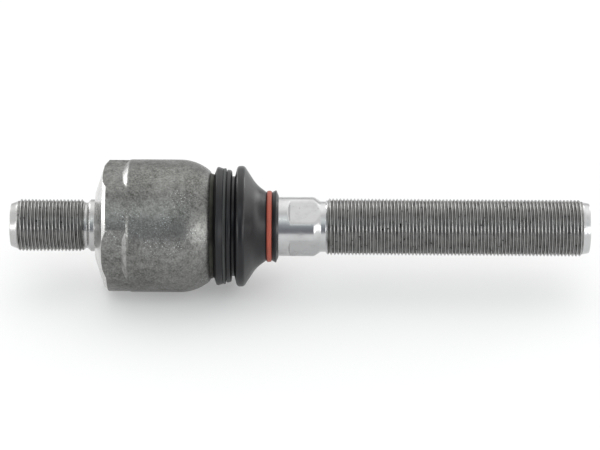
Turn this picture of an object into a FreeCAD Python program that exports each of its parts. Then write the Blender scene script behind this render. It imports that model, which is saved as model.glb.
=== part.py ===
import FreeCAD, Part
import math
import os

# Inner tie rod (axial ball joint) of a heavy steering axle.
# A forged cup with a short threaded stud holds a ball pin whose long shank is threaded for the
# tie rod end. A rubber boot with two rings seals the gap. All sizes are in millimetres.
# The joint's axis is X. The origin is the centre of the machined seat face, where the stud
# leaves the forging; the long thread points to +X and the stud to -X.
# Both threads are plain cylinders at their outside diameter.

V = FreeCAD.Vector

# Fits between pieces
sliding_gap = 0.05          # radial gap of seats, rings and boot on what carries them
ball_gap = 0.05             # radial running gap between the ball and its seats
end_gap = 0.1               # between the nose's end and the step inside the boot's cuff

# Threaded stud of the housing, M22 x 1.5
stud_radius = 11.0
stud_length = 36.0
stud_lead_length = 2.9      # plain cone in front of the thread
stud_lead_depth = 2.0
stud_collar_length = 2.2
relief_depth = 1.4
relief_floor = 0.9
seat_corner = 0.4

# Lathe centres in both ends
centre_mouth_radius = 2.4
centre_drill_radius = 1.0
centre_drill_depth = 5.0
centre_half_angle = 30.0

# Ball and its neck
ball_radius = 17.5
ball_flat_radius = 4.0
neck_radius = 9.0
neck_fillet = 0.8
neck_length = 29.5          # from the ball's centre to the collar

# Shank, with the thread M24 x 1.5
thread_radius = 12.0
thread_lead_length = 2.8
thread_lead_depth = 1.5
shank_length = 171.5        # from the ball's centre to the end of the thread
collar_step = 0.5           # the collar stands this much proud of the thread
collar_length = 25.9
collar_taper = 5.0
spanner_flat_length = 10.1
spanner_flat_depth = 1.5
spanner_flat_turn = 27.0    # degrees that the flats are turned from the housing's flats
spanner_flat_runout = 1.1
undercut_depth = 1.3
undercut_taper = 2.8
collar_edge = 2.5           # rounding where the collar falls to the undercut
undercut_length = 4.8

# Spring and seats
spring_height = 2.2
spring_thickness = 1.4
spring_clearance = 1.0      # from the spring's edge to the corner of the bore's floor
spring_inner_radius = 9.0
spring_land = 0.6           # flat ring on which the spring stands
seat_wall = 3.4
seat_back = 2.75            # thickness behind the ball
seat_front = 6.0            # from the ball's centre to the closing ring
seat_hole_radius = 5.0
seat_split_gap = 0.4
seat_mouth_angle = 58.0     # degrees from the axis to the edge of the upper seat
seat_lip = 2.0

# Forged housing
seat_land = 3.8             # width of the flat seat face round the stud
seat_cone_angle = 18.5      # degrees between the turned cone and the seat face
seat_edge = 1.7             # chamfer between the turned cone and the wrench section
spanner_depth = 2.7         # how deep each flat is cut into the wrench section
cup_start = 14.5            # where the cup reaches its full radius
cup_shoulder_angle = 45.0   # degrees between the turned shoulder and the axis
cup_overlap = 2.0           # the cup's body starts this far under the flats
cup_wall = 7.0
forge_step = 0.3            # the cup stands this much proud of the wrench section
bore_floor = 14.0
bore_floor_corner = 3.0
roll_length = 12.9          # length over which the rim is rolled inwards
rim_wall = 1.05
rim_corner = 0.5

# Closing ring
step_depth = 5.8            # from the closing ring's back to the end of the rim
ring_lip = 1.4              # the ring stands this much over the seats
flange_lap = 0.8            # how far the rolled rim reaches over the ring
flange_height = 3.1
ring_shoulder = 1.4         # length of the ring that shows past the rim
ring_taper = 0.5            # the showing part falls this much towards the boot
ring_ledge = 1.6            # from the ring's shoulder down to its nose
nose_length = 5.2
nose_wall = 2.24            # at the nose's open end

# Cuff and bulge of the boot, with heights measured from the cuff's bore
boot_wall = 1.7
cuff_edge = 0.8             # flat face at the very end of the cuff
flange_rise = 4.35
flange_width = 3.9
flange_crest = 1.3          # from the cuff's end to the crest of its flange
flange_fall = 0.85          # the flange is this much lower beside the clamp ring
flange_rounding = 0.6
groove_rounding = 0.2
clamp_wall = 1.75
clamp_width = 1.1
clamp_room = 0.35           # open groove between the clamp ring and the rib
clamp_thickness = 1.8
clamp_rounding = 0.3
rib_rise = 3.05
rib_width = 2.15
rib_start_rounding = 0.5
rib_fall = 0.2
rib_end_rounding = 0.9
fold_rise = 0.25
fold_width = 1.15           # floor of the fold between the rib and the bulge
fold_rounding = 0.25
bulge_rise = 4.65
bulge_offset = 2.5          # from the fold's end to the crown of the bulge
bulge_width = 2.9
bulge_start_rounding = 1.5
bulge_stop_rounding = 1.7

# Flank and neck of the boot, with heights measured from the neck's bore
flank_share = 0.61          # of the way from crown to neck where the flank turns
flank_rise = 0.285          # of the height from neck to crown where the flank turns
flank_rounding = 14.0
boot_reach = 10.9           # how far the boot reaches along the collar
neck_grip = 6.2             # length of the boot's neck that touches the collar
neck_rise = 1.9
neck_rounding = 0.8
lip_rise = 2.85
lip_width = 2.7
lip_fall = 1.0              # length over which the lip falls to its thin end
lip_edge = 0.4
lip_rounding = 0.3
tension_wall = 0.75
tension_width = 2.3
tension_thickness = 1.7
tension_rounding = 0.75
inner_flank_rounding = 10.0
inner_bulge_rounding = 0.4
inner_fold_rounding = 0.4

# Radii that follow
bore_radius = ball_radius + ball_gap + seat_wall + sliding_gap
cup_radius = bore_radius + cup_wall
wrench_radius = cup_radius - forge_step
wrench_flat = wrench_radius - spanner_depth     # from the axis to each flat
seat_face_radius = stud_radius + seat_land
seat_cone_radius = wrench_radius - seat_edge
ring_radius = bore_radius + ring_lip
nose_radius = ring_radius - ring_ledge
spring_outer_radius = bore_radius - bore_floor_corner - spring_clearance
collar_radius = thread_radius + collar_step
spanner_flat = collar_radius - spanner_flat_depth
undercut_radius = thread_radius - undercut_depth
cuff_radius = nose_radius + sliding_gap
clamp_seat_radius = cuff_radius + clamp_wall
bulge_radius = cuff_radius + bulge_rise
grip_radius = collar_radius + sliding_gap
tension_seat_radius = grip_radius + tension_wall
neck_outer_radius = grip_radius + neck_rise

# Places along X that follow
seat_start = bore_floor + spring_height
ball_centre = seat_start + seat_back + ball_gap + ball_radius
ring_step = ball_centre + seat_front
rim_end = ring_step + step_depth
rim_start = rim_end - rim_corner
roll_start = rim_end - roll_length
nose_start = rim_end + ring_shoulder
nose_end = nose_start + nose_length
collar_start = ball_centre + neck_length
collar_end = collar_start + collar_length
undercut_end = collar_end + undercut_length
thread_end = ball_centre + shank_length
cuff_start = nose_start + sliding_gap
clamp_start = cuff_start + flange_width
clamp_end = clamp_start + sliding_gap + clamp_width + clamp_room
fold_start = clamp_end + rib_width
fold_at = fold_start + fold_width
crown_at = fold_at + bulge_offset
boot_end = collar_start + boot_reach
tension_end = boot_end - lip_width
tension_start = tension_end - tension_width - 2 * sliding_gap


def corner_arc(before, at, after, radius):
    """The arc that rounds a corner: where it starts, its middle and where it ends."""
    back = (before - at).normalize()
    ahead = (after - at).normalize()
    half = back.getAngle(ahead) / 2
    reach = radius / math.tan(half)
    bisector = (back + ahead).normalize()
    middle = at + bisector * (radius / math.sin(half) - radius)
    return at + back * reach, middle, at + ahead * reach


def turned(*outline):
    """A solid turned about X. Each point is (x, r) or (x, r, corner radius).
    A point marked "by" is one that the arc between its two neighbours passes through."""
    corners = [p for p in outline if p[-1] != "by"]
    passing = {}
    for n, p in enumerate(outline):
        if p[-1] == "by":
            passing[sum(q[-1] != "by" for q in outline[:n]) - 1] = V(p[0], 0, p[1])
    at = [V(p[0], 0, p[1]) for p in corners]
    count = len(at)
    arrive, leave, edges = list(at), list(at), []
    rounding = {}
    for n, p in enumerate(corners):
        if len(p) == 3 and p[2] > 0:
            start, middle, end = corner_arc(at[n - 1], at[n], at[(n + 1) % count], p[2])
            arrive[n], leave[n], rounding[n] = start, end, middle
    for n in range(count):
        if n in rounding:
            edges.append(Part.Arc(arrive[n], rounding[n], leave[n]).toShape())
        following = (n + 1) % count
        if n in passing:
            edges.append(Part.Arc(leave[n], passing[n], arrive[following]).toShape())
        elif leave[n].distanceToPoint(arrive[following]) > 1e-6:
            edges.append(Part.LineSegment(leave[n], arrive[following]).toShape())
    face = Part.Face(Part.Wire(edges))
    solid = face.revolve(V(0, 0, 0), V(1, 0, 0), 360)
    if solid.Volume < 0:
        solid.reverse()
    return solid


def on_ball(radius, angle):
    """The point of a ball of that radius about the joint's centre, at an angle from +X in degrees."""
    a = math.radians(angle)
    return ball_centre + radius * math.cos(a), radius * math.sin(a)


def on_roll(x):
    """The cup's outer radius at x, where an arc rolls it down to the rim's wall."""
    length = rim_start - roll_start
    drop = cup_radius - ring_radius - rim_wall
    roll_radius = (length**2 + drop**2) / (2 * drop)
    return cup_radius - roll_radius + math.sqrt(roll_radius**2 - (x - roll_start) ** 2)


def lathe_centre(x, inwards):
    """The drilled centre in an end face at x. inwards is 1 where the solid lies towards +X."""
    cone = (centre_mouth_radius - centre_drill_radius) / math.tan(math.radians(centre_half_angle))
    deep = centre_drill_depth
    return turned(
        (x - inwards, 0),
        (x - inwards, centre_mouth_radius),
        (x, centre_mouth_radius),
        (x + inwards * cone, centre_drill_radius),
        (x + inwards * deep, centre_drill_radius),
        (x + inwards * (deep + centre_drill_radius / 2), 0),
    )


def flat_cutters(start, run_in, end, run_out, low, outside, turn):
    """Four cutters, a quarter turn apart, that mill flats at the radius low from start to end.
    run_in and run_out are the lengths over which the cutter climbs to the outside radius."""
    high = outside + 1.0
    climb = (high - low) / (outside - low)
    side = [
        V(start - run_in * climb, -high, high),
        V(start, -high, low),
        V(end, -high, low),
        V(end + run_out * climb, -high, high),
    ]
    block = Part.Face(Part.makePolygon(side + side[:1])).extrude(V(0, 2 * high, 0))
    cutters = []
    for quarter in range(4):
        cutter = block.copy()
        cutter.rotate(V(0, 0, 0), V(1, 0, 0), turn + 90 * quarter)
        cutters.append(cutter)
    return cutters


def make_wrench_end():
    """The stud, the turned seat face and its cone, and the wrench section with four flats."""
    cone_top = (seat_cone_radius - seat_face_radius) * math.tan(math.radians(seat_cone_angle))
    edge_top = cone_top + wrench_radius - seat_cone_radius
    thread_stop = -(stud_collar_length + 2 * relief_depth + relief_floor)
    blank = turned(
        (-stud_length, 0),
        (-stud_length, stud_radius - stud_lead_depth),
        (-stud_length + stud_lead_length, stud_radius),
        (thread_stop, stud_radius),
        (thread_stop + relief_depth, stud_radius - relief_depth),
        (-stud_collar_length - relief_depth, stud_radius - relief_depth),
        (-stud_collar_length, stud_radius),
        (0, stud_radius, seat_corner),
        (0, seat_face_radius),
        (cone_top, seat_cone_radius),
        (edge_top, wrench_radius),
        (cup_start, wrench_radius),
        (cup_start, 0),
    )
    flats = flat_cutters(0, 0, cup_start, 0, wrench_flat, wrench_radius, 0)
    return blank.cut(flats + [lathe_centre(-stud_length, 1)])


def make_cup():
    """The outside of the cup, from its turned shoulder to the rolled rim, still solid."""
    rim_middle = (roll_start + rim_start) / 2
    foot_radius = wrench_flat - cup_overlap
    foot = cup_start - (cup_radius - foot_radius) / math.tan(math.radians(cup_shoulder_angle))
    return turned(
        (foot, 0),
        (foot, foot_radius),
        (cup_start, cup_radius),
        (roll_start, cup_radius),
        (rim_middle, on_roll(rim_middle), "by"),
        (rim_start, on_roll(rim_start)),
        (rim_end, on_roll(rim_end) - rim_corner / 2),
        (rim_end, 0),
    )


def make_bore():
    """What is bored out of the cup: room for the seats, a step for the closing ring, the mouth."""
    recess = ring_radius + flange_lap
    return turned(
        (bore_floor, 0),
        (bore_floor, bore_radius, bore_floor_corner),
        (ring_step, bore_radius),
        (ring_step, recess),
        (ring_step + flange_height, recess),
        (ring_step + flange_height + flange_lap, ring_radius),
        (rim_end + rim_corner, ring_radius),
        (rim_end + rim_corner, 0),
    )


def make_housing():
    """The forging: wrench end and cup in one piece, bored out and rolled over the closing ring."""
    return make_wrench_end().fuse(make_cup()).removeSplitter().cut(make_bore())


def make_ball_pin():
    """The ball, its neck, the collar with four spanner flats, and the long threaded shank."""
    fillet_angle = math.degrees(math.asin((neck_radius + neck_fillet) / (ball_radius + neck_fillet)))
    ball_leave = on_ball(ball_radius, fillet_angle)
    fillet_centre = on_ball(ball_radius + neck_fillet, fillet_angle)
    fillet_turn = math.radians((fillet_angle + 90) / 2)
    fillet_middle = (
        fillet_centre[0] - neck_fillet * math.cos(fillet_turn),
        fillet_centre[1] - neck_fillet * math.sin(fillet_turn),
    )
    flat_angle = 180 - math.degrees(math.asin(ball_flat_radius / ball_radius))
    ball_flat = on_ball(ball_radius, flat_angle)
    undercut_rise = thread_radius - undercut_radius
    blank = turned(
        (ball_flat[0], 0),
        ball_flat,
        (*on_ball(ball_radius, 90), "by"),
        ball_leave,
        (*fillet_middle, "by"),
        (fillet_centre[0], neck_radius),
        (collar_start - collar_taper, neck_radius, collar_taper),
        (collar_start, collar_radius, collar_taper / 4),
        (collar_end, collar_radius, collar_edge),
        (collar_end + undercut_taper, undercut_radius),
        (undercut_end, undercut_radius),
        (undercut_end + undercut_rise, thread_radius),
        (thread_end - thread_lead_length, thread_radius),
        (thread_end, thread_radius - thread_lead_depth),
        (thread_end, 0),
    )
    flats = flat_cutters(
        collar_end - spanner_flat_length,
        spanner_flat_runout,
        collar_end + undercut_taper,
        undercut_taper,
        spanner_flat,
        collar_radius,
        spanner_flat_turn,
    )
    return blank.cut(flats + [lathe_centre(thread_end, -1)])


def make_preload_spring():
    """A disc spring: a shallow cone that stands on the floor of the bore with its outer edge."""
    dish = spring_height - spring_thickness
    return turned(
        (bore_floor, spring_outer_radius),
        (bore_floor + spring_thickness, spring_outer_radius),
        (seat_start, spring_inner_radius + spring_land),
        (seat_start, spring_inner_radius),
        (bore_floor + dish, spring_inner_radius),
        (bore_floor, spring_outer_radius - spring_land),
    )


def make_lower_seat():
    """The cup behind the ball, pressed towards it by the spring."""
    hollow = ball_radius + ball_gap
    outside = bore_radius - sliding_gap
    back = seat_start
    front = ball_centre - seat_split_gap / 2
    hole_angle = 180 - math.degrees(math.asin(seat_hole_radius / hollow))
    front_angle = math.degrees(math.acos((front - ball_centre) / hollow))
    return turned(
        (back, seat_hole_radius),
        (back, outside, bore_floor_corner),
        (front, outside),
        on_ball(hollow, front_angle),
        (*on_ball(hollow, (front_angle + hole_angle) / 2), "by"),
        on_ball(hollow, hole_angle),
    )


def seat_cone_end():
    """Where the upper seat's outer cone meets its front face."""
    edge = on_ball(ball_radius + ball_gap, seat_mouth_angle)
    radius = edge[1] + seat_lip
    return ring_step + bore_radius - sliding_gap - radius, radius


def make_upper_seat():
    """The ring in front of the ball. Its outer cone sits in the closing ring."""
    hollow = ball_radius + ball_gap
    outside = bore_radius - sliding_gap
    back = ball_centre + seat_split_gap / 2
    back_angle = math.degrees(math.acos((back - ball_centre) / hollow))
    return turned(
        (back, outside),
        (ring_step, outside),
        seat_cone_end(),
        on_ball(hollow, seat_mouth_angle),
        (*on_ball(hollow, (seat_mouth_angle + back_angle) / 2), "by"),
        on_ball(hollow, back_angle),
    )


def make_closing_ring():
    """The steel ring under the rolled rim. Its nose carries the boot, and its mouth is flared
    so that the shank can swing."""
    outside = ring_radius + flange_lap - sliding_gap
    cone_x, cone_r = seat_cone_end()
    mouth = nose_radius - nose_wall
    return turned(
        (ring_step, bore_radius),
        (ring_step, outside),
        (ring_step + flange_height - sliding_gap, outside),
        (ring_step + flange_height + flange_lap - sliding_gap, ring_radius - sliding_gap),
        (rim_end, ring_radius - sliding_gap),
        (nose_start, ring_radius - sliding_gap - ring_taper),
        (nose_start, nose_radius),
        (nose_end, nose_radius, nose_wall / 3),
        (nose_end, mouth),
        (cone_x + sliding_gap, cone_r),
    )


def inset(before, at, after, depth):
    """The corner that lies a wall's depth under an outline's corner."""
    steps = [V(b[0] - a[0], 0, b[1] - a[1]).normalize() for a, b in ((before, at), (at, after))]
    below = V(steps[0].z + steps[1].z, 0, -steps[0].x - steps[1].x)
    below = below * (depth / (1 + steps[0].dot(steps[1])))
    return at[0] + below.x, at[1] + below.z


def make_boot():
    """The rubber boot: a cuff on the closing ring's nose, one bulge, and a neck on the collar."""
    fold = (fold_at, cuff_radius + fold_rise)
    bulge_start = (crown_at - bulge_width / 2, bulge_radius)
    bulge_stop = (crown_at + bulge_width / 2, bulge_radius)
    flank = (
        crown_at + flank_share * (tension_start - crown_at),
        neck_outer_radius + flank_rise * (bulge_radius - neck_outer_radius),
    )
    neck = (tension_start, neck_outer_radius)
    inner_start = inset(fold, bulge_start, bulge_stop, boot_wall)
    inner_stop = inset(bulge_start, bulge_stop, flank, boot_wall)
    inner_flank = inset(bulge_stop, flank, neck, boot_wall)
    inner_fold = fold[1] - boot_wall
    return turned(
        (cuff_start, cuff_radius),
        (cuff_start, cuff_radius + cuff_edge),
        (cuff_start + flange_crest, cuff_radius + flange_rise, flange_rounding),
        (clamp_start, cuff_radius + flange_rise - flange_fall, groove_rounding),
        (clamp_start, clamp_seat_radius),
        (clamp_end, clamp_seat_radius),
        (clamp_end, cuff_radius + rib_rise, rib_start_rounding),
        (fold_start - rib_fall, cuff_radius + rib_rise - rib_fall, rib_end_rounding),
        (fold_start, cuff_radius + fold_rise, fold_rounding),
        (*fold, fold_rounding),
        (*bulge_start, bulge_start_rounding),
        (*bulge_stop, bulge_stop_rounding),
        (*flank, flank_rounding),
        neck,
        (tension_start, tension_seat_radius),
        (tension_end, tension_seat_radius),
        (tension_end, neck_outer_radius, groove_rounding),
        (boot_end - lip_fall, grip_radius + lip_rise, lip_rounding),
        (boot_end, grip_radius + lip_edge),
        (boot_end, grip_radius),
        (boot_end - neck_grip, grip_radius, neck_rounding),
        (*inner_flank, inner_flank_rounding),
        (*inner_stop, inner_bulge_rounding),
        (*inner_start, inner_bulge_rounding),
        (fold_at, inner_fold, inner_fold_rounding),
        (nose_end + end_gap, inner_fold),
        (nose_end + end_gap, cuff_radius),
    )


def groove_ring(start, width, inside, thickness, corner):
    """A ring with rounded outer edges that sits in a groove."""
    outside = inside + thickness
    return turned(
        (start, inside),
        (start, outside, corner),
        (start + width, outside, corner),
        (start + width, inside),
    )


def make_clamp_ring():
    """The flat ring in the groove of the boot's cuff."""
    inside = clamp_seat_radius + sliding_gap
    start = clamp_start + sliding_gap
    return groove_ring(start, clamp_width, inside, clamp_thickness, clamp_rounding)


def make_tension_ring():
    """The elastic ring in the groove of the boot's neck."""
    inside = tension_seat_radius + sliding_gap
    start = tension_start + sliding_gap
    return groove_ring(start, tension_width, inside, tension_thickness, tension_rounding)


pieces = {
    "housing": make_housing(),
    "ball_pin": make_ball_pin(),
    "preload_spring": make_preload_spring(),
    "lower_seat": make_lower_seat(),
    "upper_seat": make_upper_seat(),
    "closing_ring": make_closing_ring(),
    "boot": make_boot(),
    "boot_clamp_ring": make_clamp_ring(),
    "boot_tension_ring": make_tension_ring(),
}

os.makedirs("parts", exist_ok=True)
for name, shape in pieces.items():
    solid = shape.Solids[0] if len(shape.Solids) == 1 else shape
    print(f"{name}: {len(shape.Solids)} solid, valid {shape.isValid()}, {solid.Volume / 1000:.2f} cm3")
    solid.exportStep(f"parts/{name}.step")
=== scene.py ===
import math
import bmesh
import bpy
import numpy as np
from mathutils import Matrix, Vector


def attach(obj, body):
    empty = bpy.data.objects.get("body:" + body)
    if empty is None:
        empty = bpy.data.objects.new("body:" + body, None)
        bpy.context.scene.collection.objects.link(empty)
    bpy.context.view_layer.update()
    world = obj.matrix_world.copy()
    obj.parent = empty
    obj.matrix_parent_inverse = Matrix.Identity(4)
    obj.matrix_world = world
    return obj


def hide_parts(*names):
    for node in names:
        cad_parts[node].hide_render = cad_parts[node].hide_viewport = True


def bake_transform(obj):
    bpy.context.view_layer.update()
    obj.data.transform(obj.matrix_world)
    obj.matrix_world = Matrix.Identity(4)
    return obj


# Inner tie rod: forged cup with a threaded stud, ball pin with a long threaded shank, rubber boot.
# Lengths in the dictionaries are in millimetres, angles in degrees. Meshes are made in metres.

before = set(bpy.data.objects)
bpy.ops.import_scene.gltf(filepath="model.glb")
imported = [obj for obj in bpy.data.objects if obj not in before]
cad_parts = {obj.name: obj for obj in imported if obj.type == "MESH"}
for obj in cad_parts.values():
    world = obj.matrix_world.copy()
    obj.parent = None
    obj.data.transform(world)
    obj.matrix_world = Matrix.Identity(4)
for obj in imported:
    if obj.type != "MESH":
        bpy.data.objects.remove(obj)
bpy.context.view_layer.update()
scene = bpy.context.scene
mm = 0.001
ringColumns = 112   # columns round each turned steel piece, so that a thread joins on point by point


# Small helpers for meshes

def roundedOutline(corners, steps=4):
    # corners are (x, r) or (x, r, corner radius)
    points = []
    for n, corner in enumerate(corners):
        at = Vector(corner[:2])
        size = corner[2] if len(corner) == 3 else 0
        if size <= 0 or n in (0, len(corners) - 1):
            points.append(tuple(at))
            continue
        back = (Vector(corners[n - 1][:2]) - at).normalized()
        ahead = (Vector(corners[n + 1][:2]) - at).normalized()
        half = back.angle(ahead) / 2
        centre = at + (back + ahead).normalized() * size / math.sin(half)
        reach = size / math.tan(half)
        first, last = at + back * reach - centre, at + ahead * reach - centre
        turn = first.angle(last)
        for k in range(steps + 1):
            part = first * math.sin(turn * (1 - k / steps)) + last * math.sin(turn * k / steps)
            points.append(tuple(centre + part / math.sin(turn)))
    return points


def divided(points, longest):
    # adds points, so that no stretch is longer than the given length
    result = [tuple(points[0])]
    for start, end in zip(points, points[1:]):
        count = max(1, math.ceil(math.dist(start, end) / longest))
        for k in range(1, count + 1):
            result.append(tuple(a + (b - a) * k / count for a, b in zip(start, end)))
    return result


def meshPiece(name, vertices, faces):
    mesh = bpy.data.meshes.new(name)
    mesh.from_pydata(vertices, [], faces)
    mesh.update()
    piece = bpy.data.objects.new(name, mesh)
    scene.collection.objects.link(piece)
    return piece


def turnedPiece(name, outline, columns=ringColumns, anglesAt=None, radiusAt=None, loop=False):
    # a surface turned about X; anglesAt bends its columns and radiusAt cuts flats into it
    even = np.arange(columns) * 2 * math.pi / columns
    vertices, starts, sizes = [], [], []
    for x, r in outline:
        starts.append(len(vertices))
        if r < 1e-6:
            vertices.append((x * mm, 0, 0))
            sizes.append(1)
            continue
        angles = anglesAt(x) if anglesAt else even
        radii = radiusAt(x, r, angles) if radiusAt else np.full(columns, r)
        for a, q in zip(angles, radii):
            vertices.append((x * mm, -q * mm * math.sin(a), q * mm * math.cos(a)))
        sizes.append(columns)
    faces = []
    for n in range(len(outline) if loop else len(outline) - 1):
        m = (n + 1) % len(outline)
        for j in range(max(sizes[n], sizes[m])):
            k = (j + 1) % columns
            here = [starts[n]] if sizes[n] == 1 else [starts[n] + k, starts[n] + j]
            there = [starts[m]] if sizes[m] == 1 else [starts[m] + j, starts[m] + k]
            faces.append(here + there)
    return meshPiece(name, vertices, faces)


def joined(name, pieces):
    # one closed mesh out of several that share their edge rings
    whole = bmesh.new()
    for piece in pieces:
        whole.from_mesh(piece.data)
        bpy.data.objects.remove(piece)
    bmesh.ops.remove_doubles(whole, verts=whole.verts, dist=4e-6)
    bmesh.ops.dissolve_degenerate(whole, edges=whole.edges, dist=1e-6)
    bmesh.ops.recalc_face_normals(whole, faces=whole.faces)
    mesh = bpy.data.meshes.new(name)
    whole.to_mesh(mesh)
    openEdges = sum(1 for e in whole.edges if len(e.link_faces) != 2)
    whole.free()
    piece = bpy.data.objects.new(name, mesh)
    scene.collection.objects.link(piece)
    print(f"{name}: {len(mesh.polygons)} faces, {openEdges} open edges")
    return piece


def smoothed(piece, sharpFrom=38):
    piece.data.shade_smooth()
    piece.data.set_sharp_from_angle(angle=math.radians(sharpFrom))
    return piece


def lower(a, b, blend):
    # the lower of two heights, with their crossing rounded over the length blend
    near = np.maximum(blend - np.abs(a - b), 0) / blend
    return np.minimum(a, b) - near * near * blend / 4


def higher(a, b, blend):
    return -lower(-a, -b, blend)


def flatAngles(inner, outer, soft, turn, even):
    # column angles round four flats: lines follow the edges at inner and outer degrees from each middle
    half = np.concatenate([
        np.linspace(0, inner - soft, 4)[:-1], [inner - soft, inner],
        np.linspace(inner + soft, outer - soft, 4)[:-1], [outer - soft, outer],
        np.linspace(outer + soft, 45, 5),
    ])
    quarter = np.concatenate([-half[::-1], half[1:]])[:-1]
    full = np.concatenate([quarter + 90 * q for q in range(4)])
    base = -45 + np.arange(len(full)) * 360 / len(full)
    return np.radians(turn + full * (1 - even) + base * even)


def flatRadius(angles, turn, height):
    # distance from the axis to four planes at that height, a quarter turn apart
    away = (angles - math.radians(turn) + math.pi / 4) % (math.pi / 2) - math.pi / 4
    return height / np.cos(away)


def ramp(value, low, high):
    return float(np.clip((value - low) / (high - low), 0, 1))


def edgeAngle(height, radius):
    return math.degrees(math.acos(min(1, height / radius)))


def latheCentre(x, inwards):
    # outline of the drilled centre in an end face, from its bottom to its mouth
    return [
        (x + inwards * 5.5, 0), (x + inwards * 5.0, 1.0), (x + inwards * 2.43, 1.0),
        (x + inwards * 0.25, 2.26), (x, 2.55),
    ]


# Node trees, for materials and for threads

class Wire:
    # a socket that can be used in sums
    def __init__(self, tree, socket):
        self.tree, self.socket = tree, socket

    def maths(self, operation, *others):
        return self.tree.add("ShaderNodeMath", {"operation": operation}, self, *others)

    def __add__(self, other): return self.maths("ADD", other)
    def __radd__(self, other): return self.maths("ADD", other)
    def __sub__(self, other): return self.maths("SUBTRACT", other)
    def __rsub__(self, other): return (self * -1.0) + other
    def __mul__(self, other): return self.maths("MULTIPLY", other)
    def __rmul__(self, other): return self.maths("MULTIPLY", other)
    def __truediv__(self, other): return self.maths("DIVIDE", other)
    def __pow__(self, other): return self.maths("POWER", other)

    def floor(self): return self.maths("FLOOR")
    def fraction(self): return self.maths("FRACT")
    def size(self): return self.maths("ABSOLUTE")
    def lowest(self, other): return self.maths("MINIMUM", other)
    def highest(self, other): return self.maths("MAXIMUM", other)
    def held(self): return self.highest(0.0).lowest(1.0)

    def band(self, start, end):
        # 0 at start, 1 at end, even between them
        return ((self - start) / (end - start)).held()

    def out(self, name):
        return Wire(self.tree, self.socket.node.outputs[name])


class Tree:
    def __init__(self, nodes):
        self.nodes = nodes

    def add(self, kind, settings, *values, **named):
        # a node of one kind: settings first, then the value or link of each socket
        node = self.nodes.nodes.new(kind)
        for key, value in settings.items():
            if key == "stops":
                self.setStops(node.color_ramp, value)
            else:
                setattr(node, key, value)
        sockets = [s for s in node.inputs if s.enabled]
        pairs = list(zip(sockets, values)) + [(node.inputs[k.replace("_", " ")], v) for k, v in named.items()]
        for socket, value in pairs:
            if isinstance(value, Wire):
                self.nodes.links.new(value.socket, socket)
            elif value is not None:
                socket.default_value = value
        return Wire(self, [s for s in node.outputs if s.enabled][0]) if node.outputs else node

    def setStops(self, colourRamp, stops):
        while len(colourRamp.elements) < len(stops):
            colourRamp.elements.new(1.0)
        for element, (place, shade) in zip(colourRamp.elements, stops):
            element.position = place
            element.color = (shade, shade, shade, 1) if isinstance(shade, float) else (*shade, 1)

    def mixed(self, amount, a, b):
        return self.add("ShaderNodeMix", {"data_type": "RGBA"}, amount, a, b)

    def noise(self, place, scale, detail=3.0, rough=0.55):
        return self.add("ShaderNodeTexNoise", {}, place, Scale=scale, Detail=detail, Roughness=rough)

    def vector(self, x, y, z):
        return self.add("ShaderNodeCombineXYZ", {}, x, y, z)


def shade(value):
    return (value, value, value, 1)


def surfaceTree(name):
    # a new material with its coordinates: place in metres, x in mm, distance from the axis in mm, turn
    material = bpy.data.materials.new(name)
    material.use_nodes = True
    material.node_tree.nodes.clear()
    tree = Tree(material.node_tree)
    place = tree.add("ShaderNodeTexCoord", {}).out("Object")
    parts = tree.add("ShaderNodeSeparateXYZ", {}, place)
    x, y, z = (parts.out(k) * 1000.0 for k in "XYZ")
    radius = (y * y + z * z) ** 0.5
    turn = y.maths("ARCTAN2", z)
    return material, tree, place, x, radius, turn


def finishSurface(tree, colour, roughness, bump=None, bumpSize=0.0001, strength=1.0, fixed=None):
    sockets = {"Base_Color": colour, "Roughness": roughness}
    if bump is not None:
        sockets["Normal"] = tree.add("ShaderNodeBump", {}, Strength=strength, Distance=bumpSize, Height=bump)
    surface = tree.add("ShaderNodeBsdfPrincipled", {}, **sockets, **(fixed or {}))
    tree.add("ShaderNodeOutputMaterial", {}, surface)


# Materials

def forgedSteel():
    # shot-blasted forging: fine mottled grey, darker scale patches, a shoulder lighter as a turned face and as a
    # painted highlight
    look = {"light": (0.31, 0.313, 0.30), "dark": (0.065, 0.065, 0.060), "scale": (0.05, 0.05, 0.046),
            "shoulder": (0.46, 0.46, 0.45), "glint": (0.70, 0.72, 0.71)}
    material, tree, place, x, radius, turn = surfaceTree("forgedSteel")
    fine = tree.noise(place, 1300.0, 2.0, 0.6).band(0.32, 0.68)
    grain = tree.noise(place, 420.0, 4.0, 0.65).band(0.34, 0.66)
    broad = tree.noise(place, 60.0, 3.0, 0.55).band(0.38, 0.64)
    mottle = fine * 0.44 + grain * 0.32 + broad * 0.24
    colour = tree.mixed(mottle, (*look["dark"], 1), (*look["light"], 1))
    scale = tree.noise(place, 170.0, 5.0, 0.7).band(0.58, 0.74) * 0.38
    colour = tree.mixed(scale, colour, (*look["scale"], 1))
    # small polished facets, in clusters; their lighter colour is a painted glint
    glint = tree.noise(place, 2100.0, 1.0, 0.5).band(0.64, 0.70) * tree.noise(place, 48.0, 2.0, 0.5).band(0.54, 0.66)
    colour = tree.mixed(glint, colour, (*look["glint"], 1))
    # the 45 degree shoulder at the end of the flats: lighter as a turned face, and lighter still as a painted highlight
    # of its crescent reflection
    shoulder = 1.0 - (radius - x - 13.5).size().band(0.15, 0.45)
    shoulder = shoulder * x.band(11.6, 12.6) * (1.0 - radius.band(27.2, 27.7)) * (0.35 + 0.65 * grain)
    colour = tree.mixed(shoulder, colour, (*look["shoulder"], 1))
    roughness = 0.46 - 0.14 * mottle - 0.10 * shoulder + 0.12 * scale - 0.14 * glint
    bump = fine * 0.5 + grain * 1.0 + broad * 1.2
    finishSurface(tree, colour, roughness, bump, 0.00005, 0.8, {"Metallic": 0.95})
    return material


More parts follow.
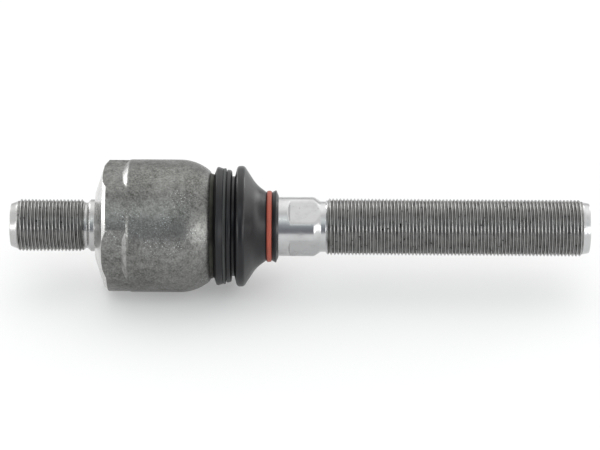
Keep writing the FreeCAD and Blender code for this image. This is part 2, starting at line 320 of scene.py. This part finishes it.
def turnedSteel(name, tone, rough):
    # bright turned steel: fine rings round the axis, faint stains
    material, tree, place, x, radius, turn = surfaceTree(name)
    rings = tree.noise(tree.vector(x * 9.0, radius * 9.0, turn * 0.4), 1.0, 2.0, 0.6)
    stains = tree.noise(place, 160.0, 4.0, 0.6).band(0.45, 0.75)
    colour = tree.mixed(stains * 0.35, (*tone, 1), (*[c * 0.62 for c in tone], 1))
    specks = tree.noise(place, 1500.0, 2.0, 0.5).band(0.70, 0.76)
    colour = tree.mixed(specks * 0.8, colour, (0.03, 0.028, 0.025, 1))
    roughness = rough + 0.10 * rings + 0.12 * stains
    finishSurface(tree, colour, roughness, rings, 0.00002, 0.4, {"Metallic": 1.0})
    return material


def threadSteel(name, crest):
    # cut thread: painted highlight along its crests, painted shade in the grooves over patchy oil, with a few black
    # specks
    look = {"crest": (0.36, 0.36, 0.355), "groove": (0.29, 0.29, 0.282), "oilAndGrooveShade": (0.05, 0.048, 0.044)}
    material, tree, place, x, radius, turn = surfaceTree(name)
    height = radius - crest
    crestWearAndLight = height.band(-0.34, -0.06)
    stains = tree.noise(place, 300.0, 3.0, 0.6).band(0.40, 0.70)
    # the crest tone is a painted highlight; the groove tone and the darker mix in the grooves are painted shade, patchy
    # like oil
    colour = tree.mixed(crestWearAndLight, (*look["groove"], 1), (*look["crest"], 1))
    colour = tree.mixed((1.0 - crestWearAndLight) * stains * 0.6, colour, (*look["oilAndGrooveShade"], 1))
    specks = tree.noise(place, 700.0, 1.0, 0.5).band(0.69, 0.73)
    colour = tree.mixed(specks, colour, (0.01, 0.01, 0.009, 1))
    roughness = 0.36 - 0.18 * crestWearAndLight + 0.2 * specks
    finishSurface(tree, colour, roughness, stains, 0.00002, 0.3, {"Metallic": 1.0})
    return material


def bootRubber():
    look = {"deep": (0.003, 0.003, 0.0042), "dusty": (0.0075, 0.0075, 0.0098)}
    material, tree, place, x, radius, turn = surfaceTree("bootRubber")
    bloom = tree.noise(place, 90.0, 4.0, 0.6).band(0.35, 0.75)
    grain = tree.noise(place, 1400.0, 3.0, 0.6)
    colour = tree.mixed(bloom, (*look["deep"], 1), (*look["dusty"], 1))
    roughness = 0.26 + 0.13 * bloom + 0.06 * grain
    finishSurface(tree, colour, roughness, grain, 0.00004, 0.4, {"Specular_IOR_Level": 0.37})
    return material


def satinPlain(name, light, dark, rough, metallic, grainScale=600.0):
    material, tree, place, x, radius, turn = surfaceTree(name)
    cloud = tree.noise(place, 120.0, 4.0, 0.6).band(0.35, 0.7)
    grain = tree.noise(place, grainScale, 3.0, 0.6)
    colour = tree.mixed(cloud, (*light, 1), (*dark, 1))
    roughness = rough + 0.10 * cloud + 0.08 * grain
    finishSurface(tree, colour, roughness, grain, 0.00003, 0.4, {"Metallic": metallic})
    return material


def redElastic():
    # moulded ring, painted highlight along its crown, painted shade towards its sides, with dusty patches
    material, tree, place, x, radius, turn = surfaceTree("redElastic")
    cloud = tree.noise(place, 260.0, 3.0, 0.6)
    crownLightMask = radius.band(14.35, 15.05)
    # the radius band paints shade at the ring's sides and a highlight on its crown
    colour = tree.mixed(crownLightMask, (0.10, 0.015, 0.008, 1), (0.39, 0.078, 0.045, 1))
    colour = tree.mixed(cloud.band(0.5, 0.8) * 0.5, colour, (0.16, 0.05, 0.035, 1))
    finishSurface(tree, colour, 0.42 + 0.15 * cloud, cloud, 0.00003, 0.4)
    return material


steels = {
    "forged": forgedSteel(),
    "face": turnedSteel("turnedFace", (0.64, 0.64, 0.63), 0.20),
    "stud": turnedSteel("studSteel", (0.48, 0.48, 0.475), 0.20),
    "shank": turnedSteel("shankSteel", (0.54, 0.54, 0.545), 0.14),
    "ball": turnedSteel("ballSteel", (0.62, 0.62, 0.63), 0.12),
    "studThread": threadSteel("studThread", 11.0),
    "shankThread": threadSteel("shankThread", 12.0),
}
closingSteel = satinPlain("closingSteel", (0.055, 0.055, 0.044), (0.016, 0.016, 0.013), 0.42, 0.6)
springSteel = satinPlain("springSteel", (0.26, 0.26, 0.27), (0.12, 0.12, 0.13), 0.34, 1.0)
seatPlastic = satinPlain("seatPlastic", (0.80, 0.79, 0.74), (0.68, 0.67, 0.62), 0.42, 0.0)
clampBand = satinPlain("clampBand", (0.026, 0.029, 0.029), (0.012, 0.013, 0.013), 0.30, 0.0)
rubber = bootRubber()
red = redElastic()
print("materials made")


# Thread, one tree used for the stud and for the shank

def threadTree(material):
    # rows run along a helix; the first and the last turn narrow to nothing, so both ends are rings
    group = bpy.data.node_groups.new("threadOnAxis", "GeometryNodeTree")
    sockets = {}
    for name, kind in (
        ("Start", "Float"), ("Pitch", "Float"), ("Turns", "Int"), ("Crest Radius", "Float"),
        ("Depth", "Float"), ("Start Radius", "Float"), ("End Radius", "Float"), ("Columns", "Int"),
    ):
        socket = group.interface.new_socket(name, in_out="INPUT", socket_type=f"NodeSocket{kind}")
        sockets[name] = socket.identifier
    group.interface.new_socket("Thread", in_out="OUTPUT", socket_type="NodeSocketGeometry")
    tree = Tree(group)
    given = group.nodes.new("NodeGroupInput")
    start, pitch, turns, crest, depth, startRadius, endRadius, columns = (
        Wire(tree, socket) for socket in given.outputs[:8]
    )
    rows = (turns + 1.0) * 7.0
    grid = tree.add("GeometryNodeMeshGrid", {}, rows, 1.0, rows + 1.0, columns + 1.0)
    place = tree.add("ShaderNodeSeparateXYZ", {}, tree.add("GeometryNodeInputPosition", {}))
    row = place.out("X") + rows * 0.5 + 0.01
    across = place.out("Y") + 0.5
    step = (row / 7.0).fraction() * 7.0
    along = (row / 7.0).floor()
    for n, share in enumerate((0.055, 0.055, 0.31, 0.16, 0.31, 0.055)):
        along = along + share * step.band(n + 0.5, n + 0.6)
    first = along.lowest(1.0)
    last = (along - turns).highest(0.0)
    length = first * across + (along - 1.0).highest(0.0) - last + last * (1.0 - across)
    wave = ((length - across).fraction() - 0.5).size()
    height = 0.908 * wave.band(0.08, 0.39) + 0.070 * wave.band(0.39, 0.445) + 0.022 * wave.band(0.445, 0.5)
    radius = crest - depth * (1.0 - height)
    radius = radius.lowest(startRadius + length * pitch)
    radius = radius.lowest(endRadius + (turns - length) * pitch)
    angle = across * (2 * math.pi)
    moved = tree.add(
        "GeometryNodeSetPosition", {}, grid, None,
        tree.vector(start + length * pitch, angle.maths("SINE") * radius * -1.0, angle.maths("COSINE") * radius),
    )
    merged = tree.add("GeometryNodeMergeByDistance", {}, moved, Distance=3e-6)
    real = tree.add("GeometryNodeRealizeInstances", {}, merged)
    painted = tree.add("GeometryNodeSetMaterial", {}, real, Material=material)
    result = group.nodes.new("NodeGroupOutput")
    group.links.new(painted.socket, result.inputs[0])
    return group, sockets


def makeThread(name, sizes, material):
    group, sockets = threadTree(material)
    holder = meshPiece(name + "Holder", [(0, 0, 0)], [])
    modifier = holder.modifiers.new("thread", "NODES")
    modifier.node_group = group
    for key, value in sizes.items():
        modifier[sockets[key]] = value
    evaluated = holder.evaluated_get(bpy.context.evaluated_depsgraph_get())
    mesh = bpy.data.meshes.new_from_object(evaluated)
    holder.modifiers.clear()
    bpy.data.objects.remove(holder)
    piece = bpy.data.objects.new(name, mesh)
    scene.collection.objects.link(piece)
    print(f"{name}: {len(mesh.vertices)} points")
    return piece


# Housing: stud, seat face, wrench section with four flats, cup with a rolled rim

housingSizes = {
    "studEnd": -36.0, "studRadius": 11.0, "tip": 9.0, "threadFrom": -33.0, "relief": 9.6, "threadPitch": 1.5,
    "threadDepth": 0.92, "threadTurns": 19, "threadStop": -4.5, "reliefEnd": -3.6, "collarEnd": -2.2,
    "faceRadius": 14.8, "coneTop": (3.75, 26.0), "edgeTop": (5.45, 27.7), "flat": 25.0, "cupStart": 14.5,
    "cupRadius": 28.0, "rollStart": 35.4, "rollRadius": 19.17, "rimStart": 47.8, "rimEnd": 48.3,
    "rimRadius": 22.76, "mouth": 22.4, "recess": 23.2, "recessFrom": 42.5, "recessTo": 45.6, "bore": 21.0,
    "floor": 14.0, "soft": 0.4,
}


def housingRadius(x, r, angles):
    s = housingSizes
    if x > s["cupStart"] + 2.5 or x < 3.0 or r < 24:
        return np.full(len(angles), float(r))
    section = r if x < s["edgeTop"][0] + 0.5 else s["cupRadius"] - 0.3 - max(0, x - s["cupStart"])
    wrench = lower(section, flatRadius(angles, 0, s["flat"]), s["soft"])
    cup = lower(s["cupRadius"], x + s["cupRadius"] - s["cupStart"], 0.7)
    return higher(wrench, cup, s["soft"])


def housingAngles(x):
    s = housingSizes
    outer = edgeAngle(s["flat"], s["cupRadius"] - 0.3)
    coneX, coneRadius = s["coneTop"]
    flatsFrom = coneX * (s["flat"] - s["faceRadius"]) / (coneRadius - s["faceRadius"])
    if x < flatsFrom:
        return flatAngles(4.5, 10, 1.2, 0, 1 - ramp(x, 1.5, flatsFrom))
    if x < s["edgeTop"][0]:
        cone = s["flat"] + (x - flatsFrom) * (coneRadius - s["flat"]) / (coneX - flatsFrom)
        edge = max(10, edgeAngle(s["flat"], min(cone, coneRadius + x - coneX)))
        return flatAngles(edge * 0.45, edge, 1.2, 0, 0)
    if x < 11.5:
        return flatAngles(outer * 0.45 - 6.5 * ramp(x, 8, 11.4), outer, 1.2, 0, 0)
    inner = min(outer - 4, max(5, edgeAngle(s["flat"], x + 13.5)))
    return flatAngles(inner, outer, 1.2, 0, ramp(x, 17.5, 24))


def makeHousing():
    s = housingSizes
    rollOutline = []
    for n in range(17):
        x = s["rollStart"] + (s["rimStart"] - s["rollStart"]) * n / 16
        along = x - s["rollStart"]
        rollOutline.append((x, s["cupRadius"] - s["rollRadius"] + math.sqrt(s["rollRadius"] ** 2 - along ** 2)))
    root = s["studRadius"] - s["threadDepth"]
    head = latheCentre(s["studEnd"], 1)[:-1] + roundedOutline([
        latheCentre(s["studEnd"], 1)[-1], (s["studEnd"], s["tip"], 0.5), (s["threadFrom"], root),
    ])
    face = roundedOutline([
        (s["threadStop"], s["relief"]), (s["reliefEnd"], s["relief"], 0.3), (s["collarEnd"], 11.0, 0.15),
        (0, 11.0, 0.4), (0, s["faceRadius"], 0.4), (*s["coneTop"], 0.5), (*s["edgeTop"], 0.5), (6.0, 27.7),
    ], 3)
    wrench = [(x, 27.7) for x in np.arange(6.5, 11.3, 0.8)]
    shoulder = [(x, 27.7) for x in np.arange(11.4, 16.8, 0.2)]
    cup = divided([(17.0, 28.0), (s["rollStart"], 28.0)], 1.2)
    rim = roundedOutline([
        rollOutline[-1], (s["rimEnd"], s["rimRadius"], 0.3), (s["rimEnd"], s["mouth"], 0.1), (46.4, s["mouth"]),
    ], 3)
    inside = [(s["recessTo"], s["recess"]), (s["recessFrom"], s["recess"]), (s["recessFrom"], s["bore"])]
    bottom = roundedOutline([(s["recessFrom"], s["bore"]), (s["floor"], s["bore"], 3.0), (s["floor"], 0)], 6)
    first = divided(head, 2.0)
    second = divided(face, 0.9) + wrench + shoulder + cup + rollOutline[1:-1] + rim + inside + bottom[1:]
    shapes = {"columns": ringColumns, "anglesAt": housingAngles, "radiusAt": housingRadius}
    endFace = turnedPiece("studEnd", first, anglesAt=lambda x: flatAngles(11, 25, 1.2, 0, 1))
    body = turnedPiece("housingBody", second, **shapes)
    thread = makeThread("studThread", {
        "Start": s["threadFrom"] * mm, "Pitch": s["threadPitch"] * mm, "Turns": s["threadTurns"],
        "Crest Radius": s["studRadius"] * mm, "Depth": s["threadDepth"] * mm,
        "Start Radius": root * mm, "End Radius": s["relief"] * mm,
        "Columns": ringColumns,
    }, steels["stud"])
    housing = joined("housing_forging", [endFace, thread, body])
    paints = [steels[k] for k in ("stud", "face", "forged", "studThread")]
    paintByPlace(housing, paints, housingPaint)
    return smoothed(housing)


def housingPaint(x, r):
    s = housingSizes
    if x < -0.01:
        return 3 if s["threadFrom"] < x < s["threadStop"] - 0.6 else 0
    (coneX, coneRadius), (edgeX, edgeRadius) = s["coneTop"], s["edgeTop"]
    turned = s["faceRadius"] + (coneRadius - s["faceRadius"]) * x / coneX if x < coneX else coneRadius + x - coneX
    return 1 if x < edgeX - 0.15 and 9 < r and r > turned - 0.22 else 2


def paintByPlace(piece, materials, choose):
    piece.data.materials.clear()
    for material in materials:
        piece.data.materials.append(material)
    for face in piece.data.polygons:
        c = face.center / mm
        face.material_index = choose(c.x, math.hypot(c.y, c.z))


# Ball pin: ball, neck, collar with four flats, undercut, threaded shank

pinSizes = {
    "centre": 36.5, "ball": 17.5, "neck": 9.0, "fillet": 0.8, "collarFrom": 66.0, "collarTo": 91.9,
    "collar": 12.5, "flat": 11.0, "flatFrom": 81.8, "flatRamp": 1.1, "flatTurn": 27.0, "undercut": 10.7,
    "undercutFrom": 94.7, "threadFrom": 97.0, "threadTurns": 72, "thread": 12.0, "end": 208.0,
    "tip": 10.5, "threadPitch": 1.5, "threadDepth": 0.92, "soft": 0.25,
}


def pinRadius(x, r, angles):
    s = pinSizes
    if x < s["flatFrom"] - 2 or x > 95:
        return np.full(len(angles), float(r))
    rise = max(0, s["flatFrom"] - x) / s["flatRamp"] * (s["collar"] - s["flat"])
    return lower(r, flatRadius(angles, s["flatTurn"], s["flat"] + rise), s["soft"])


def pinAngles(x):
    s = pinSizes
    if x < 70 or x > 95.5:
        return flatAngles(12, 28, 1.2, s["flatTurn"], 1)
    if x < s["flatFrom"]:
        height = s["flat"] + min(1.5, max(0, s["flatFrom"] - x) / s["flatRamp"] * 1.5)
        edge = max(10, edgeAngle(height, s["collar"]))
        return flatAngles(edge * 0.45, edge, 1.2, s["flatTurn"], 1 - ramp(x, 72, 80))
    section = s["collar"] if x < s["collarTo"] else s["collar"] - (x - s["collarTo"]) * 1.8 / 2.8
    edge = max(10, edgeAngle(s["flat"], max(section, s["flat"])))
    return flatAngles(edge * 0.45, edge, 1.2, s["flatTurn"], ramp(x, 94.3, 95.5))


def makePin():
    s = pinSizes
    leave = math.asin((s["neck"] + s["fillet"]) / (s["ball"] + s["fillet"]))
    back = math.pi - math.asin(4.0 / s["ball"])
    ball = []
    for n in range(37):
        a = back + (leave - back) * n / 36
        ball.append((s["centre"] + s["ball"] * math.cos(a), s["ball"] * math.sin(a)))
    neckStart = s["centre"] + (s["ball"] + s["fillet"]) * math.cos(leave)
    neck = roundedOutline([ball[-1], (neckStart - 0.1, s["neck"] + 0.1), (neckStart + 0.6, s["neck"]),
                           (61.0, s["neck"], 5.0), (66.0, s["collar"], 1.25), (70.0, s["collar"])], 5)
    collar = [(x, s["collar"]) for x in (72, 74, 76, 78, 79.5, 80.3)]
    flats = [(x, s["collar"]) for x in np.arange(80.5, 82.4, 0.12)]
    flats += [(x, s["collar"]) for x in np.arange(83.0, 90.9, 1.1)]
    waist = roundedOutline([
        (91.0, s["collar"]), (s["collarTo"], s["collar"], 2.5), (s["undercutFrom"], s["undercut"], 0.8),
        (96.7, s["undercut"], 0.3), (s["threadFrom"], 11.0),
    ], 3)
    outline = [(ball[0][0], 0)] + ball + neck[1:] + collar + flats + divided(waist, 0.16)
    body = turnedPiece("pinBody", outline, anglesAt=pinAngles, radiusAt=pinRadius)
    root, threadTo = s["thread"] - s["threadDepth"], s["threadFrom"] + s["threadTurns"] * s["threadPitch"]
    centre = latheCentre(s["end"], -1)[::-1]
    tip = roundedOutline([(threadTo, root), (s["end"], s["tip"], 0.5), centre[0]]) + centre[1:]
    endFace = turnedPiece("pinEnd", divided(tip, 2.0), anglesAt=lambda x: flatAngles(12, 28, 1.2, s["flatTurn"], 1))
    thread = makeThread("shankThread", {
        "Start": s["threadFrom"] * mm, "Pitch": s["threadPitch"] * mm, "Turns": s["threadTurns"],
        "Crest Radius": s["thread"] * mm, "Depth": s["threadDepth"] * mm, "Start Radius": 11.0 * mm,
        "End Radius": root * mm, "Columns": ringColumns,
    }, steels["shank"])
    spin = Matrix.Rotation(math.radians(s["flatTurn"] - 45), 4, "X")
    thread.data.transform(spin)
    pin = joined("ball_pin_steel", [body, thread, endFace])
    paintByPlace(pin, [steels[k] for k in ("ball", "shank", "shankThread")], pinPaint)
    return smoothed(pin)


def pinPaint(x, r):
    s = pinSizes
    if x < 58:
        return 0
    return 2 if s["threadFrom"] + 0.5 < x < s["threadFrom"] + s["threadTurns"] * s["threadPitch"] else 1


# Boot: cuff with its flange and rib, one bulge, flank and neck

bootSizes = {
    "start": 49.75, "cuff": 20.85, "grip": 12.55, "clampSeat": 22.6, "clampFrom": 53.65, "clampTo": 55.15,
    "foldFrom": 57.3, "foldTo": 58.45, "fold": 21.1, "crownAt": 60.95, "bulge": 25.5, "bulgeWidth": 2.9,
    "flank": (67.57, 17.6), "neckFrom": 71.8, "neckTo": 74.2, "neck": 14.45, "ringSeat": 13.3, "inside": 19.8,
    "lip": 15.4, "end": 76.9, "columns": 144,
}


def makeBoot():
    s = bootSizes
    outside = [
        (s["start"], 21.65), (51.05, 25.2, 0.8), (s["clampFrom"], 24.35, 0.25), (s["clampFrom"], s["clampSeat"]),
        (s["clampTo"], s["clampSeat"]), (s["clampTo"], 23.9, 0.5), (s["foldFrom"] - 0.2, 23.7, 0.9),
        (s["foldFrom"], s["fold"], 0.25), (s["foldTo"], s["fold"], 0.25),
        (s["crownAt"] - s["bulgeWidth"] / 2, s["bulge"], 1.5), (s["crownAt"] + s["bulgeWidth"] / 2, s["bulge"], 1.7),
        (*s["flank"], 14.0), (s["neckFrom"], s["neck"], 0.15), (s["neckFrom"], s["ringSeat"]),
        (s["neckTo"], s["ringSeat"]), (s["neckTo"], s["neck"], 0.2), (75.9, s["lip"], 0.4), (s["end"], 12.95),
        (s["end"], s["grip"]),
    ]
    inside = [
        (s["end"], s["grip"]), (70.7, s["grip"], 0.8), (66.31, 16.42, 8.0), (61.7, 23.8, 0.5), (60.6, 23.8, 0.5),
        (s["foldTo"], s["inside"], 0.4), (55.0, s["inside"]), (55.0, s["cuff"]), (s["start"], s["cuff"]),
    ]
    outline = divided(roundedOutline(outside, 6), 0.35)[:-1] + divided(roundedOutline(inside, 4), 0.8)[:-1]
    boot = turnedPiece("boot_rubber", outline, s["columns"], loop=True)
    outline.append(outline[0])
    boot = joined("boot_rubber", [boot])
    boot.data.materials.append(rubber)
    return smoothed(boot, 50)


def makeGrooveRing(name, start, width, inside, thickness, corner, material):
    outside = inside + thickness
    outline = roundedOutline([
        (start + width / 2, inside), (start, inside, 0.15), (start, outside, corner),
        (start + width, outside, corner), (start + width, inside, 0.15), (start + width / 2, inside),
    ], 5)
    ring = turnedPiece(name, divided(outline, 0.4)[:-1], 144, loop=True)
    ring = joined(name, [ring])
    ring.data.materials.append(material)
    return smoothed(ring, 50)


housing = makeHousing()
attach(housing, "cup")
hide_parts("housing")

pin = makePin()
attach(pin, "shank")
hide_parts("ball_pin")
print("steel pieces made")

boot = makeBoot()
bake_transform(boot)
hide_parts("boot")

clampRing = makeGrooveRing("boot_clamp_band", 53.7, 1.1, 22.65, 1.8, 0.3, clampBand)
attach(clampRing, "seats")
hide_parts("boot_clamp_ring")

tensionRing = makeGrooveRing("boot_tension_band", 71.85, 2.3, 13.35, 1.7, 0.75, red)
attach(tensionRing, "boot_neck")
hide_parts("boot_tension_ring")

for node, material in (
    ("closing_ring", closingSteel), ("preload_spring", springSteel),
    ("lower_seat", seatPlastic), ("upper_seat", seatPlastic),
):
    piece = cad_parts[node]
    if not piece.material_slots:
        piece.data.materials.append(material)
    for slotHolder in piece.material_slots:
        slotHolder.link = "OBJECT"
        slotHolder.material = material
print("boot, rings and inner pieces made")


# Floor, light and camera

studio = {
    "floor": -28.02, "floorSize": 4.0, "paint": 0.67, "glow": 0.22,
    # colour of the room seen from the object: degrees from level, at the front, over the top to the back
    "room": [(0, (0.70, 0.70, 0.70)), (4, (0.26, 0.27, 0.30)), (15, (0.22, 0.23, 0.26)), (28, (0.36, 0.39, 0.42)),
             (40, (0.48, 0.52, 0.55)), (44, (0.84, 0.90, 0.91)), (54, (0.88, 0.94, 0.94)), (62, (1.00, 1.06, 1.05)),
             (72, (0.92, 0.93, 0.93)), (80, (0.80, 0.80, 0.80)), (90, (1.00, 1.00, 1.00)), (100, (1.26, 1.26, 1.25)),
             (115, (1.50, 1.50, 1.49)), (145, (1.50, 1.50, 1.49)), (160, (1.15, 1.15, 1.14)), (170, (0.70, 0.70, 0.70)),
             (180, (0.50, 0.50, 0.50))],
    "sides": [(0.0, 0.25), (0.05, 0.20), (0.08, 1.0), (0.22, 1.0), (0.27, 0.20), (0.70, 0.23), (1.0, 0.30)],
    "sideLight": 4.4,   # the sides go by height; between their two dark edges they are soft boxes
}


def makeFloor():
    half = studio["floorSize"]
    floor = meshPiece("floor", [(-half, -half, 0), (half, -half, 0), (half, half, 0), (-half, half, 0)], [(0, 1, 2, 3)])
    floor.data.transform(Matrix.Translation((0, 0, studio["floor"] * mm)))
    material = bpy.data.materials.new("paleFloor")
    material.use_nodes = True
    material.node_tree.nodes.clear()
    tree = Tree(material.node_tree)
    paint = tree.add("ShaderNodeBsdfDiffuse", {}, shade(studio["paint"]))
    glow = tree.add("ShaderNodeEmission", {}, (1, 1, 1, 1), studio["glow"])
    both = tree.add("ShaderNodeAddShader", {}, paint, glow)
    tree.add("ShaderNodeOutputMaterial", {}, both)
    floor.data.materials.append(material)


def makeWorld():
    # a white tent: dark where the camera looks in, brightest low down on the left and right
    world = bpy.data.worlds.new("studio")
    scene.world = world
    world.use_nodes = True
    world.node_tree.nodes.clear()
    tree = Tree(world.node_tree)
    direction = tree.add("ShaderNodeTexCoord", {}).out("Generated")
    parts = tree.add("ShaderNodeSeparateXYZ", {}, direction)
    height = parts.out("Z").maths("ARCTAN2", parts.out("Y") * -1.0) * (1 / math.pi)
    stops = [(degrees / 180, light) for degrees, light in studio["room"]]
    room = tree.add("ShaderNodeValToRGB", {"stops": stops}, height.held())
    sides = tree.add("ShaderNodeValToRGB", {"stops": studio["sides"]}, parts.out("Z").held())
    bright = tree.add("ShaderNodeVectorMath", {"operation": "SCALE"}, sides, Scale=studio["sideLight"])
    aside = parts.out("X").size().band(0.42, 0.62) * (1.0 - parts.out("Y").band(0.30, 0.55))
    light = tree.mixed(aside, room, bright)
    seen = tree.add("ShaderNodeBackground", {}, light, 1.0)
    tree.add("ShaderNodeOutputWorld", {}, seen)


def makeLamp(name, place, target, size, power):
    lamp = bpy.data.lights.new(name, "AREA")
    lamp.shape = "RECTANGLE"
    lamp.size, lamp.size_y = size
    lamp.energy = power
    holder = bpy.data.objects.new(name, lamp)
    holder.location = place
    holder.rotation_euler = (Vector(target) - Vector(place)).to_track_quat("-Z", "Y").to_euler()
    scene.collection.objects.link(holder)


def makeCamera():
    rise, distance, lean = math.radians(30.2), 1.144, math.radians(0.35)
    aim = Vector((0.08595, 0, 0)) + Vector((0, math.sin(rise), math.cos(rise))) * 0.00064
    back = Vector((0, -math.cos(rise), math.sin(rise)))
    data = bpy.data.cameras.new("camera")
    data.lens = 162.4
    data.sensor_width = 36.0
    data.clip_end = 20.0
    camera = bpy.data.objects.new("camera", data)
    scene.collection.objects.link(camera)
    turned = (-back).to_track_quat("-Z", "Y").to_matrix() @ Matrix.Rotation(lean, 3, "Z")
    camera.rotation_euler = turned.to_euler()
    camera.location = aim + back * distance
    scene.camera = camera


makeFloor()
makeWorld()
makeLamp("leftBox", (-0.53, -0.72, 0.33), (0.05, 0, 0), (0.35, 0.35), 0.7)
makeLamp("rightBox", (0.69, -0.72, 0.33), (0.05, 0, 0), (0.35, 0.35), 0.7)
makeLamp("glintLamp", (0.005, -0.276, 0.417), (0.03, 0, 0), (0.05, 0.03), 0.05)
makeLamp("backLeftBox", (-0.78, 0.86, 0.20), (0.0, 0, 0), (0.36, 0.36), 1.65)
makeLamp("backRightBox", (0.88, 0.86, 0.24), (0.1, 0, 0), (0.36, 0.36), 1.65)
makeCamera()
scene.view_settings.view_transform = "Standard"
print("floor, light and camera made")
